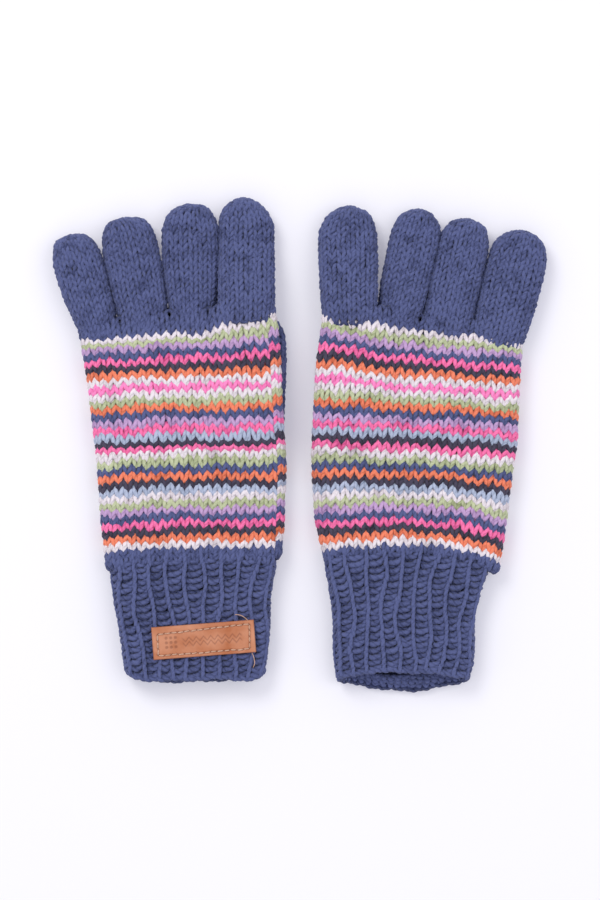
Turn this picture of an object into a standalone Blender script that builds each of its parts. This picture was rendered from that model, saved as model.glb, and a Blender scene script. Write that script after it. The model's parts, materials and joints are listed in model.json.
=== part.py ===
"""A pair of knitted gloves lying palm down, side by side, fingers towards +Y.

Each glove is a striped hand, a ribbed cuff, four fingers and a thumb, and every one of them is a flattened
knitted tube with a real wall and a real hollow. The left cuff carries a stitched leather label. The thumbs
are folded under the palms, so the palm arches over them.

Lengths in the tables below are millimetres; MM turns them into metres. The origin is the middle of the
pair on the surface that it lies on.
"""

import math

import bmesh
import bpy
from mathutils import Matrix, Vector

COLLECTION = "knitted_gloves"
MM = 0.001

# Fabric and play between neighbouring pieces
HAND_WALL = 2.4
CUFF_WALL = 2.8
FINGER_WALL = 2.3
THUMB_WALL = 1.8
GAP = 0.3
FINGER_PLAY = 1.4

# How far each seam line bends, which sets how much fabric opens up beside it
FINGER_CURL = math.radians(70)
INDEX_CURL = math.radians(60)
FINGER_LIFT = math.radians(35)
WRIST_BEND = math.radians(35)

# Heights of the flattened tubes
HAND_HEIGHT = 14.0
CUFF_HEIGHT = 14.0
FINGER_HEIGHT = 13.0
THUMB_HEIGHT = 9.0
ARCH_LOW = THUMB_HEIGHT + 0.5
ARCH_HIGH = 20.0
INDEX_BASE_LOW = 8.0
INDEX_BASE_HIGH = 19.5
INDEX_SLOPE_LENGTH = 34.0

# Share of a tube's half width that is flat, the rest being its round sides
HAND_FLAT = 0.86
CUFF_FLAT = 0.84
FINGER_FLAT = 0.5
THUMB_FLAT = 0.62
FINGER_CROWN = 0.8

# Palm arch over the folded thumb, measured from the thumb's side of the palm and along the hand
ARCH_WIDTH = 32.0
ARCH_FADE = 11.0
ARCH_START = -16.0
ARCH_RISE = 13.0
THUMB_HOLE = (17.0, 22.0, 4.6)
THUMB_HOLE_LIFT = 4.4
THUMB_HOLE_LEAD = 1.0

# How fingers and thumbs fill out and how their ends close
FINGER_STRAIGHT = 12.0
FINGER_SWELL_LENGTH = 18.0
FINGER_END_FLATTENING = 0.6
THUMB_STRAIGHT = 16.0
THUMB_END_ROUNDING = 0.8
THUMB_END_FLATTENING = 0.5
END_ANGLES = (0.65, 1.15)

# The leather label on the left cuff
LABEL_CENTRE = (-47.7, -97.0)
LABEL_SIZE = (51.0, 16.2, 1.8)
LABEL_TILT = math.radians(4.4)
LABEL_ROUNDING = 0.5
STITCH_INSET = 2.3
STITCH_RADIUS = 0.4
STITCH_CORNER = 1.2
STITCH_CORNER_STEPS = 3

# Rungs run across the back of the hand or cuff, each from its left edge to its right edge.
# A finger is its tip, its greatest width and the power that rounds its end, where a lower one is blunter;
# its base is a span of the knuckle line.
LEFT = {
    "cuff": [
        ((-86.0, -118.5), (-18.5, -118.5)),
        ((-88.6, -109.0), (-15.8, -109.0)),
        ((-90.4, -93.0), (-14.2, -93.0)),
        ((-93.6, -74.0), (-13.6, -73.0)),
        ((-96.0, -54.5), (-10.5, -53.0)),
    ],
    "mouth_slant": 1.5,
    "hand": [
        ((-98.0, -54.5), (-8.0, -53.0)),
        ((-99.8, -38.0), (-7.0, -38.0)),
        ((-102.0, -6.0), (-6.0, -6.0)),
        ((-103.7, 7.0), (-7.0, 7.0)),
        ((-106.8, 32.0), (-8.3, 36.0)),
        ((-110.0, 50.0), (-9.6, 57.0)),
    ],
    "knuckles": [(-112.0, 59.5), (-91.0, 64.0), (-65.5, 67.5), (-41.0, 69.5), (-12.0, 70.5)],
    "fingers": [
        ("little", (-115.2, 104.6), 23.0, 0.55),
        ("ring", (-87.8, 113.3), 26.0, 0.45),
        ("middle", (-55.2, 120.0), 26.8, 0.55),
        ("index", (-27.0, 123.0), 26.0, 0.85),
    ],
    "thumb_root": (-21.5, 10.0),
    "thumb_tip": (-20.5, 66.0),
    "thumb_width": 26.0,
    "thumb_side": 1,
}
RIGHT = {
    "cuff": [
        ((18.0, -123.0), (84.0, -123.0)),
        ((16.6, -107.0), (87.4, -107.0)),
        ((16.0, -87.0), (87.4, -86.0)),
        ((13.8, -70.0), (91.6, -71.0)),
        ((10.5, -52.5), (97.5, -56.35)),
    ],
    "mouth_slant": 9.5,
    "hand": [
        ((9.8, -52.5), (101.0, -56.5)),
        ((6.5, -38.0), (103.2, -41.0)),
        ((4.8, -8.0), (107.2, -10.0)),
        ((5.0, 5.0), (109.2, 2.0)),
        ((6.5, 36.0), (110.0, 28.0)),
        ((9.0, 55.0), (111.0, 42.0)),
    ],
    "knuckles": [(10.5, 66.0), (38.5, 65.5), (60.0, 61.5), (85.5, 56.5), (112.0, 51.0)],
    "fingers": [
        ("index", (23.5, 119.0), 27.4, 0.75),
        ("middle", (60.6, 117.3), 23.4, 0.7),
        ("ring", (84.3, 112.5), 23.8, 0.6),
        ("little", (111.9, 106.6), 27.6, 0.65),
    ],
    "thumb_root": (22.0, 8.0),
    "thumb_tip": (23.5, 62.0),
    "thumb_width": 26.0,
    "thumb_side": -1,
}

# Fabric and leather: colour in linear RGB, roughness
MATERIALS = {
    "navy_knit": ((0.058, 0.075, 0.205, 1.0), 0.9),
    "striped_knit": ((0.55, 0.18, 0.30, 1.0), 0.9),
    "tan_leather": ((0.50, 0.19, 0.085, 1.0), 0.5),
    "tan_thread": ((0.58, 0.30, 0.18, 1.0), 0.8),
}


def smooth(value):
    """An S-curve from 0 to 1."""
    value = min(max(value, 0.0), 1.0)
    return value * value * (3.0 - 2.0 * value)


def mix(a, b, share):
    return a + (b - a) * share


def plan(point, z=0.0):
    """A plan point in the tables as a vector."""
    return Vector((point[0], point[1], z))


def section(flat, runs, side_steps):
    """Points round a flattened tube as (across from -1 to 1, height from 0 to 1), bottom first."""
    points = [(mix(-flat, flat, i / runs), 0.0) for i in range(runs + 1)]
    turn = [math.pi * (i + 1) / (side_steps + 1) for i in range(side_steps)]
    points += [(flat + (1.0 - flat) * math.sin(a), 0.5 - 0.5 * math.cos(a)) for a in turn]
    points += [(mix(flat, -flat, i / runs), 1.0) for i in range(runs + 1)]
    points += [(-flat - (1.0 - flat) * math.sin(a), 0.5 + 0.5 * math.cos(a)) for a in turn]
    return points


def make_material(name):
    colour, roughness = MATERIALS[name]
    material = bpy.data.materials.new(name)
    material.use_nodes = True
    shader = material.node_tree.nodes["Principled BSDF"]
    shader.inputs["Base Color"].default_value = colour
    shader.inputs["Roughness"].default_value = roughness
    shader.inputs["Metallic"].default_value = 0.0
    material.diffuse_color = colour
    return material


def link(obj, collection, material):
    collection.objects.link(obj)
    obj.data.materials.append(material)
    return obj


def mesh_object(name, bm, origin):
    """The mesh as an object whose origin is a point given in millimetres."""
    bm.transform(Matrix.Scale(MM, 4) @ Matrix.Translation(-origin))
    mesh = bpy.data.meshes.new(name)
    bm.to_mesh(mesh)
    bm.free()
    mesh.shade_smooth()
    obj = bpy.data.objects.new(name, mesh)
    obj.location = origin * MM
    return obj


def loft(rings, tip=None):
    """An open skin through rings of points, drawn to a point at the tip if there is one."""
    bm = bmesh.new()
    rows = [[bm.verts.new(p) for p in ring] for ring in rings]
    for row, following in zip(rows, rows[1:]):
        for i, vert in enumerate(row):
            after = (i + 1) % len(row)
            bm.faces.new((vert, row[after], following[after], following[i]))
    if tip is not None:
        last = rows[-1]
        point = bm.verts.new(tip)
        for i, vert in enumerate(last):
            bm.faces.new((vert, last[(i + 1) % len(last)], point))
    return bm


def face_outwards(bm, inside):
    """Turns the faces of an open skin away from a point inside it."""
    bmesh.ops.recalc_face_normals(bm, faces=bm.faces)
    outward = sum((f.calc_center_median() - inside).dot(f.normal) * f.calc_area() for f in bm.faces)
    if outward < 0.0:
        bmesh.ops.reverse_faces(bm, faces=bm.faces)


def knit_tube(name, rings, tip, inside, origin, wall, collection, material):
    """A knitted tube: an open skin with its thickness on the inner side."""
    bm = loft(rings, tip)
    face_outwards(bm, inside)
    obj = mesh_object(name, bm, origin)
    thickness = obj.modifiers.new("wall", "SOLIDIFY")
    thickness.thickness = wall * MM
    thickness.offset = -1.0
    thickness.use_rim = True
    return link(obj, collection, material)


def notch(z, middle, down, up):
    """How far an edge stands back from its bending line, so that it can bend down and up."""
    angle = up if z > middle else down
    return GAP / 2 + abs(z - middle) * math.tan(angle / 2)


def arch_share(glove, point):
    """How far the palm is arched over the thumb at a plan point, from 0 to 1."""
    edge = glove["thumb_root"][0] + glove["thumb_side"] * glove["thumb_width"] / 2
    depth = (edge - point.x) * glove["thumb_side"]
    across = 1.0 - smooth((depth - ARCH_WIDTH) / ARCH_FADE)
    start = glove["thumb_root"][1] + ARCH_START
    return across * smooth((point.y - start) / ARCH_RISE)


def hand_heights(glove, point, end_share):
    """Lowest and highest fabric at a plan point; end_share is 1 at the knuckles."""
    share = arch_share(glove, point)
    low = mix(ARCH_LOW, INDEX_BASE_LOW, end_share) * share
    high = mix(HAND_HEIGHT, mix(ARCH_HIGH, INDEX_BASE_HIGH, end_share), share)
    return low, mix(high, FINGER_HEIGHT, end_share * (1.0 - share))


def knuckle_point(glove, share):
    """A point on the knuckle line by its share of the hand's width, with the line's own direction."""
    line = [plan(p) for p in glove["knuckles"]]
    x = mix(line[0].x, line[-1].x, share)
    for start, end in zip(line, line[1:]):
        if x <= end.x or end is line[-1]:
            along = (end - start).normalized()
            return start + (end - start) * ((x - start.x) / (end.x - start.x)), along
    return line[-1], Vector((1, 0, 0))


def curl_of(name):
    return INDEX_CURL if name == "index" else FINGER_CURL


def wrist_hinge(glove):
    """The middle of the wrist line and its direction."""
    left, right = (plan(p) for p in glove["hand"][0])
    middle = (left + right) / 2
    middle.z = HAND_HEIGHT / 2
    return middle, (right - left).normalized()


def hand(side, glove, collection, material):
    shape = section(HAND_FLAT, 8, 3)
    rings = []
    for index, (left, right) in enumerate(glove["hand"]):
        ring = []
        for across, height in shape:
            point = plan(left).lerp(plan(right), (across + 1) / 2)
            low, high = hand_heights(glove, point, 0.0)
            z = mix(low, high, height)
            if index == 0:
                along = (plan(right) - plan(left)).normalized()
                back = notch(z, HAND_HEIGHT / 2, WRIST_BEND, WRIST_BEND)
                point += Vector((-along.y, along.x, 0)) * back
            ring.append(Vector((point.x, point.y, z)))
        rings.append(ring)
    ring = []
    for across, height in shape:
        point, along = knuckle_point(glove, (across + 1) / 2)
        low, high = hand_heights(glove, point, 1.0)
        z = mix(low, high, height)
        down = mix(FINGER_CURL, INDEX_CURL, arch_share(glove, point))
        back = notch(z, (low + high) / 2, down, FINGER_LIFT)
        point = point - Vector((-along.y, along.x, 0)) * back
        ring.append(Vector((point.x, point.y, z)))
    rings.append(ring)
    origin = Vector((sum(glove["hand"][2][k][0] for k in (0, 1)) / 2, 0, 0))
    inside = Vector((origin.x, origin.y, HAND_HEIGHT / 2))
    obj = knit_tube(f"{side}_hand", rings, None, inside, origin, HAND_WALL, collection, material)
    cut_thumb_hole(obj, side, glove)
    return obj


def cut_thumb_hole(obj, side, glove):
    """The opening through which the thumb leaves the palm, in the wall that faces the thumb's root."""
    bm = bmesh.new()
    bmesh.ops.create_cube(bm, size=1.0)
    bm.transform(Matrix.Diagonal((*THUMB_HOLE, 1.0)))
    root = plan(glove["thumb_root"], THUMB_HOLE_LIFT)
    centre = root - Vector((0, THUMB_HOLE[1] / 2 - THUMB_HOLE_LEAD, 0))
    bm.transform(Matrix.Translation(centre))
    cutter = mesh_object(f"{side}_thumb_opening", bm, Vector((0, 0, 0)))
    guides.objects.link(cutter)
    cutter.hide_render = True
    cutter.display_type = "WIRE"
    cut = obj.modifiers.new("thumb_opening", "BOOLEAN")
    cut.operation = "DIFFERENCE"
    cut.object = cutter


def cuff(side, glove, collection, material):
    shape = section(CUFF_FLAT, 6, 3)
    rings = []
    last = len(glove["cuff"]) - 1
    for index, (left, right) in enumerate(glove["cuff"]):
        along = (plan(right) - plan(left)).normalized()
        ring = []
        for across, height in shape:
            point = plan(left).lerp(plan(right), (across + 1) / 2)
            z = CUFF_HEIGHT * height
            if index == 0:
                point.y += glove["mouth_slant"] * height
            if index == last:
                back = notch(z, CUFF_HEIGHT / 2, WRIST_BEND, WRIST_BEND)
                point -= Vector((-along.y, along.x, 0)) * back
            ring.append(Vector((point.x, point.y, z)))
        rings.append(ring)
    origin, _ = wrist_hinge(glove)
    inside = plan(glove["cuff"][2][0]).lerp(plan(glove["cuff"][2][1]), 0.5)
    inside.z = CUFF_HEIGHT / 2
    return knit_tube(f"{side}_cuff", rings, None, inside, origin, CUFF_WALL, collection, material)


def finger(side, glove, number, collection, material):
    name, tip, width, rounding = glove["fingers"][number]
    start, end = (plan(p) for p in glove["knuckles"][number:number + 2])
    across = (end - start).normalized()
    forwards = Vector((-across.y, across.x, 0))
    base = (start + end) / 2
    tip = plan(tip)
    length = (tip - base).length
    base_half = (end - start).length / 2 - FINGER_PLAY / 2
    low, high = (INDEX_BASE_LOW, INDEX_BASE_HIGH) if name == "index" else (0.0, FINGER_HEIGHT)
    cap = width / 2
    stations = [(0.0, 1.0), (FINGER_STRAIGHT, 1.0), (length - cap - FINGER_STRAIGHT, 1.0)]
    stations += [(length - cap + cap * math.sin(a), math.cos(a)) for a in (0.0, *END_ANGLES)]
    rings = []
    for index, (distance, shrink) in enumerate(stations):
        level = 1.0 - smooth(distance / INDEX_SLOPE_LENGTH)
        bottom = low * level
        top = mix(FINGER_HEIGHT, high, level)
        middle = (bottom + top) / 2
        half = mix(base_half, width / 2, smooth(distance / FINGER_SWELL_LENGTH)) * shrink ** rounding
        ring = []
        for u, height in section(FINGER_FLAT, 2, 3):
            crown = FINGER_CROWN * (1 - abs(u)) if height > 0.5 else 0.0
            z = middle + (mix(bottom, top, height) + crown - middle) * shrink ** FINGER_END_FLATTENING
            if index == 0:
                curl = curl_of(name)
                point = base + across * (u * half) + forwards * notch(z, middle, curl, FINGER_LIFT)
            else:
                point = base.lerp(tip, distance / length) + across * (u * half)
            ring.append(Vector((point.x, point.y, z)))
        rings.append(ring)
    origin = Vector((base.x, base.y, (low + high) / 2))
    inside = base.lerp(tip, 0.5)
    inside.z = FINGER_HEIGHT / 2
    point = Vector((tip.x, tip.y, FINGER_HEIGHT / 2))
    name = f"{side}_{name}"
    return knit_tube(name, rings, point, inside, origin, FINGER_WALL, collection, material)


def thumb(side, glove, collection, material):
    root, tip = plan(glove["thumb_root"]), plan(glove["thumb_tip"])
    length = (tip - root).length
    across = Vector((1, 0, 0))
    half_width = glove["thumb_width"] / 2
    cap = half_width
    stations = [(0.0, 1.0), (THUMB_STRAIGHT, 1.0), (length - cap, 1.0)]
    stations += [(length - cap + cap * math.sin(a), math.cos(a)) for a in END_ANGLES]
    rings = []
    for distance, shrink in stations:
        half = half_width * shrink ** THUMB_END_ROUNDING
        ring = []
        for u, height in section(THUMB_FLAT, 2, 3):
            z = THUMB_HEIGHT / 2 + THUMB_HEIGHT * (height - 0.5) * shrink ** THUMB_END_FLATTENING
            point = root.lerp(tip, distance / length) + across * (u * half)
            ring.append(Vector((point.x, point.y, z)))
        rings.append(ring)
    origin = Vector((root.x, root.y, THUMB_HEIGHT / 2))
    inside = root.lerp(tip, 0.5)
    inside.z = THUMB_HEIGHT / 2
    point = Vector((tip.x, tip.y, THUMB_HEIGHT / 2))
    return knit_tube(f"{side}_thumb", rings, point, inside, origin, THUMB_WALL, collection, material)


def label(collection, leather, thread):
    """The leather label on top of the left cuff, and the ring of thread that holds it."""
    turn = Matrix.Rotation(LABEL_TILT, 4, "Z")
    bm = bmesh.new()
    bmesh.ops.create_cube(bm, size=1.0)
    bm.transform(Matrix.Diagonal((*LABEL_SIZE, 1.0)))
    centre = plan(LABEL_CENTRE, CUFF_HEIGHT + GAP + LABEL_SIZE[2] / 2)
    origin, _ = wrist_hinge(LEFT)
    bm.transform(Matrix.Translation(centre) @ turn)
    plate = link(mesh_object("leather_label", bm, origin), collection, leather)
    rounding = plate.modifiers.new("edges", "BEVEL")
    rounding.width = LABEL_ROUNDING * MM
    rounding.segments = 2

    curve = bpy.data.curves.new("label_stitching", "CURVE")
    curve.dimensions = "3D"
    curve.bevel_depth = STITCH_RADIUS * MM
    curve.bevel_resolution = 2
    half_x = LABEL_SIZE[0] / 2 - STITCH_INSET
    half_y = LABEL_SIZE[1] / 2 - STITCH_INSET
    corner = STITCH_CORNER
    arcs = [(half_x - corner, half_y - corner, 0), (corner - half_x, half_y - corner, 1)]
    arcs += [(corner - half_x, corner - half_y, 2), (half_x - corner, corner - half_y, 3)]
    height = CUFF_HEIGHT + GAP + LABEL_SIZE[2] + GAP + STITCH_RADIUS
    points = []
    for x, y, quarter in arcs:
        for step in range(STITCH_CORNER_STEPS + 1):
            angle = (quarter + step / STITCH_CORNER_STEPS) * math.pi / 2
            offset = Vector((corner * math.cos(angle), corner * math.sin(angle), 0))
            points.append(plan(LABEL_CENTRE, height) + turn @ (Vector((x, y, 0)) + offset))
    spline = curve.splines.new("POLY")
    spline.points.add(len(points) - 1)
    for target, point in zip(spline.points, points):
        target.co = (*((point - origin) * MM), 1.0)
    spline.use_cyclic_u = True
    stitches = bpy.data.objects.new("label_stitching", curve)
    stitches.location = origin * MM
    link(stitches, collection, thread)


for old in list(bpy.data.objects):
    bpy.data.objects.remove(old, do_unlink=True)

gloves = bpy.data.collections.new(COLLECTION)
guides = bpy.data.collections.new("guides")
bpy.context.scene.collection.children.link(gloves)
bpy.context.scene.collection.children.link(guides)

for side_name, outline in (("left", LEFT), ("right", RIGHT)):
    hand(side_name, outline, gloves, make_material("striped_knit"))
    cuff(side_name, outline, gloves, make_material("navy_knit"))
    thumb(side_name, outline, gloves, make_material("navy_knit"))
    for finger_number in range(4):
        finger(side_name, outline, finger_number, gloves, make_material("navy_knit"))
label(gloves, make_material("tan_leather"), make_material("tan_thread"))
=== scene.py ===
import json
import math

import bpy
import numpy as np
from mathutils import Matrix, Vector


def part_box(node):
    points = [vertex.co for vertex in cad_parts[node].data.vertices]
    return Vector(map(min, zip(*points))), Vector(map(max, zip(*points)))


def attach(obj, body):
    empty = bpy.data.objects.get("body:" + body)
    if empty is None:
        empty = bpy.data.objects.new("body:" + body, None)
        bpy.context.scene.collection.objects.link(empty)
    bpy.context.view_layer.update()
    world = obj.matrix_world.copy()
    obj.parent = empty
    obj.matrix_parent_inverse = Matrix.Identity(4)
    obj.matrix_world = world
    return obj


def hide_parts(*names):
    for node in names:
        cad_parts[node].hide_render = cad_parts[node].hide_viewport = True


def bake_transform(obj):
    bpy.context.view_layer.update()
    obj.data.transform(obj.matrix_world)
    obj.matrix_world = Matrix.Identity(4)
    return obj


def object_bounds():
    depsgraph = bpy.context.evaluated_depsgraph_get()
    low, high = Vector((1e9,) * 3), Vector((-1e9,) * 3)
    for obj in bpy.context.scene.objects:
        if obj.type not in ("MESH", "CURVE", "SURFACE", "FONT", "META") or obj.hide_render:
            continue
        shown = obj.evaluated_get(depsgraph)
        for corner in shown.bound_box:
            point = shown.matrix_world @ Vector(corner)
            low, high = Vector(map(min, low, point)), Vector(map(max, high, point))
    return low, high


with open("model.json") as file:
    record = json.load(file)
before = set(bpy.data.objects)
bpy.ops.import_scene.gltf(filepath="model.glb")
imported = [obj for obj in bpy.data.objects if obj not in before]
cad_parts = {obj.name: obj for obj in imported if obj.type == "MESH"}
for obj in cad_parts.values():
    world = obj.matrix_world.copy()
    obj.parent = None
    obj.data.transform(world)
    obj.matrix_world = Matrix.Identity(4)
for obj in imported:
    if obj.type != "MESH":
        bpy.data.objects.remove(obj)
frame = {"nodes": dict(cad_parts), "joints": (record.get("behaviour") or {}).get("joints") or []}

cad_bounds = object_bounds()

MM = 0.001
UP = np.array([0.0, 0.0, 1.0])
TURN = 6.28                 # radians: the plies of a course start at a random angle up to this
TINY = 1e-12                # a length that is taken for none, so that nothing is divided by zero

# Yarn
YARN = 1.16 * MM            # radius
FINGER_YARN = YARN * 0.91
SIDES = 8                   # corners round the yarn
LOBE = 0.13                 # how far the two plies stand out of the round
TWIST = 6.5 * MM            # length in which the plies turn once
CROWN_SHADING = 0.46                # painted light and shade round each yarn: how much paler its crown is painted than its flanks

# Fabric
ROUND = 192                 # points round a slice of a CAD tube
ROW_STEP = 0.25             # spacing of the rows in which a fabric is stored
HAND_INSET = 1.8 * MM       # depth of the fabric's middle below the CAD surface
CUFF_INSET = 1.8 * MM
FINGER_INSET = 0.85 * MM
HEM_INSET = 4.3 * MM        # depth of the rolled hem inside the right cuff
HAND_COLUMNS = 44           # stitches round the hand
CUFF_COLUMNS = 42           # stitches round the cuff, knit and purl in turn
CUFF_ROWS = 19
FINGER_COLUMNS = 15
THUMB_COLUMNS = 13
FINGER_ROW = 3.2 * MM       # height of a row of a finger

# Stocking stitch
STEPS = 18                  # points along one stitch
LOOP_WIDE = 0.235           # sideways swing of a loop, in stitches
LOOP_TALL = 1.02            # height of a loop, in rows
LOOP_DEEP = 0.95 * MM       # how far a loop's legs stand in front of its head
DEPTH_SHADING = 0.26               # painted shade: how much paler the raised parts of a course are painted than its deep ones
KNIT_TINT = 0.5
# How far the stitches stray: across in stitches, up in rows, depth as a length, tint as a tint, and wide,
# tall and thick as shares of the usual size
KNIT_DRIFT = {"wide": 0.12, "tall": 0.10, "depth": 0.13 * MM, "across": 0.045, "up": 0.08,
              "thick": 0.05, "tint": 0.22}

# Single rib
RIB_STEPS = 44              # points along a knit and a purl stitch
RIB_TINT = 0.47
RIB_DRIFT = {"across": 0.035, "tall": 0.10, "up": 0.07, "depth": 0.14 * MM, "tint": 0.16, "thick": 0.05}
# The painted highlights in a pair of stitches, on its straight leg and on the hook of its bar: where they are
# across it, their reach and how much paler they are
RIB_LEG_HIGHLIGHT = (0.69, 0.25, 0.30)
RIB_HOOK_HIGHLIGHT = (0.35, 0.16, 0.16)
# A knit and a purl stitch of the rib: place across in stitches, height in rows, distance out of the fabric
# in millimetres and thickness. The knit stitch starts with its straight leg, a smooth line up the rib; the
# purl stitch is a bar that hooks up at its right end.
RIB_LOOP = (
    (-0.31, -0.60, 0.95, 0.90), (-0.31, -0.20, 1.32, 0.88), (-0.31, 0.24, 1.22, 0.88),
    (-0.30, 0.62, 0.50, 0.88), (-0.12, 0.74, -0.90, 0.9), (0.00, 0.30, -1.30, 0.9),
    (-0.02, -0.14, -0.90, 0.98), (0.14, -0.30, 0.05, 1.16), (0.50, -0.34, 0.35, 1.24),
    (0.88, -0.25, 0.42, 1.24), (1.20, -0.03, 0.30, 1.20), (1.42, 0.34, -0.15, 1.05),
    (1.56, 0.30, -1.20, 0.9), (1.62, -0.25, -0.90, 0.88),
)
# The rings of a cuff's edge, and of the right cuff's rolled hem: how far each stands out of its fabric, and
# how many rows past the last course it lies
EDGE_RINGS = ((0.5 * MM, 0.12), (-1.2 * MM, -0.05))
HEM_RINGS = ((0.0, -1.5), (0.5 * MM, -0.95), (1.3 * MM, -0.4))
PURL_DEPTH = 1.15 * MM      # how far the backs of the purl stitches lie behind the fabric's middle

# Slow waves of the fabric. Each has a size, in rows or for RIB_SWAY in stitches, a number of turns round the
# tube and the rows along which it turns once.
HAND_WAVES = ((0.10, 5, 13.0), (0.10, 9, -9.0), (0.08, 14, 7.0), (0.06, 2, 5.0))
CUFF_WAVES = ((0.12, 3, 9.0), (0.10, 7, -6.0))
RIB_SWAY = ((0.24, 3, 17.0), (0.16, 5, -11.0), (0.07, 11, 7.0))
FINGER_WAVES = ((0.10, 2, 7.0), (0.10, 3, -5.0), (0.06, 5, 4.0))

# Courses of the striped hand from the wrist to the fingers
STRIPES = (
    "white orange charcoal pink navy lilac green white sky charcoal orange navy green white pink "
    "charcoal sky pink lilac navy orange green white rose white orange charcoal pink navy lilac green white"
).split()

# What differs between the two hands and cuffs.
# top: the share of the hand's length at which its stripes end.
# bow: how far the stripes bow towards the fingers at the wrist, and the ribs' courses with them.
# navy_below: navy courses between the cuff and the stripes.
# jog: where each course starts and ends, as a share of the way round.
# climb: how many rows a course has risen at shares of its way. The left hand's courses start a row higher,
# right of the jog, than they end, and lie slanted on the underside.
# rounding: how far the corners of the cuff's mouth are rounded off.
# tugs: places where the stripes are pulled out of line: where it starts across the hand (0 left, 1 right),
# the share of the width over which it grows, its middle row and reach in rows, and its height.
GLOVES = {
    "left": {
        "top": 0.93, "bow": 1.7 * MM, "navy_below": 2, "jog": 0.46, "rounding": 2.6 * MM,
        "climb": ((0.0, 0.54, 1.0), (2.0, 0.54, 1.0)),
        "tugs": ((0.72, -0.08, 32.2, 1.6, -2.5 * MM), (0.38, 0.30, 18.0, 15.0, -1.3 * MM)),
    },
    "right": {
        "top": 0.985, "bow": 5.0 * MM, "navy_below": 1, "jog": 0.97, "rounding": 0.0,
        "climb": ((0.0, 1.0), (0.0, 1.0)),
        "tugs": ((0.42, -0.36, 27.0, 6.5, 3.4 * MM), (0.42, -0.42, 13.0, 9.0, 2.2 * MM),
                 (0.72, 0.28, 1.0, 6.0, -4.0 * MM)),
    },
}
NAVY_ABOVE = 2              # navy courses between the stripes and the fingers
FLAT = ((0.0, 1.0), (0.0, 0.0))     # the climb of a course that closes into a ring

# For each finger and thumb: the row where its knitting starts, counted from the knuckle line, and how far
# its tip leans to the right of the CAD tube's
FINGERS = {
    "left_index": (-2.4, -1.7 * MM), "left_middle": (-3.4, 0.0), "left_ring": (-3.3, 0.0),
    "left_little": (-2.9, 0.6 * MM), "left_thumb": (-3.8, 0.0),
    "right_index": (-1.5, 1.4 * MM), "right_middle": (-1.6, 0.0), "right_ring": (-1.5, 0.0),
    "right_little": (-1.5, 0.0), "right_thumb": (-3.8, 0.0),
}
THUMB_ROOT = 3.5 * MM       # how far a thumb's first rows rise into the palm
FULL = 0.05                 # how much wider than the CAD's the fingers and thumbs are halfway along
TIP_NARROW = 0.09           # how much narrower than the CAD's their tips are
TIP_STITCHES = (1.0, 0.85, 0.62, 0.4)   # shares of the stitches that are left in the last courses
FINGER_FIRST = 6.5 * MM     # distance of a finger's first slice from its hinge
FINGER_CAP = 13 * MM        # length of its round tip

# Seeds of the random numbers; each glove, finger and thumb adds its own number
HAND_SEED = 100
CUFF_SEED = 200
FINGER_SEED = 300
LABEL_SEED = 7

# Colours of the yarns in linear RGB: the shaded side and the lit side of each
WOOL = {
    "navy": ((0.01, 0.014, 0.048), (0.101, 0.121, 0.266)),
    "white": ((0.401, 0.336, 0.358), (0.831, 0.76, 0.794)),
    "green": ((0.199, 0.236, 0.096), (0.539, 0.583, 0.365)),
    "lilac": ((0.192, 0.109, 0.252), (0.566, 0.371, 0.62)),
    "pink": ((0.451, 0.029, 0.157), (0.986, 0.201, 0.438)),
    "charcoal": ((0.007, 0.007, 0.015), (0.072, 0.063, 0.099)),
    "orange": ((0.397, 0.069, 0.023), (0.91, 0.251, 0.14)),
    "rose": ((0.738, 0.107, 0.337), (1.0, 0.271, 0.571)),
    "sky": ((0.163, 0.213, 0.301), (0.47, 0.525, 0.671)),
}
THREAD = ((0.50, 0.24, 0.13), (0.88, 0.58, 0.42))      # of the label, in the same way
LEATHER_DARK = (0.42, 0.128, 0.044)
LEATHER_PALE = (0.60, 0.26, 0.145)
# The colour of the pressed places, also of the painted shade in the needle holes and of the darker rim and
# cut sides
LEATHER_PRESSED_AND_SHADE = (0.090, 0.022, 0.012, 1)

# The label
SEAM_STITCH = 3.3 * MM      # length of a running stitch and the gap after it, about
THREAD_RADIUS = 0.30 * MM
END_RADIUS = 0.20 * MM      # radius of the loose thread ends
HOLE = 0.42 * MM            # reach of a needle hole
HOLE_DEPTH = 0.5 * MM
# how dark the needle holes are painted: painted shade in the holes
HOLE_SHADE = 0.95
PATTERN_DEPTH = 0.28 * MM   # of the chevrons and dots
PATTERN_DARK = 0.36
EDGE_DARK = 0.35            # of the rim of the leather's face
SIDE_DARK = 0.45            # of its cut sides
CHEVRON = 3.6 * MM          # length of one chevron
DOT_SPACING = 2.3           # millimetres between the dots of the lattice
PLATE_GRID = (204, 66)      # points along and across the plate

# Floor, light and camera
FLOOR_REACH = 3.0           # half its side, in metres
FLOOR_DROP = 0.6 * MM       # the floor lies this far below the CAD
LAMP_COLOUR = (1.0, 0.99, 0.955)
# Each lamp's name, place, size and power
LAMPS = (("key", (-0.7, 0.9, 1.3), 0.8, 10.5), ("fill", (1.0, 0.2, 1.4), 1.2, 4.5))
CAMERA_HEIGHT = 1.6
CAMERA_SHIFT = -0.003       # the photograph's middle, along y from the frame's origin
VIEW_HEIGHT = 0.45          # metres that the picture shows from top to bottom
SENSOR = 36.0               # height of the camera's sensor in millimetres


def smooth(value):
    """Rises smoothly from 0 to 1."""
    value = np.clip(value, 0, 1)
    return value * value * (3 - 2 * value)


def bell(value):
    """1 at 0, falling to nothing on both sides."""
    return np.exp(-value * value)


def add_object(name, data):
    """A new object in the scene."""
    obj = bpy.data.objects.new(name, data)
    bpy.context.scene.collection.objects.link(obj)
    return obj


# ---------------------------------------------------------------- reading the CAD tubes

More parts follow.
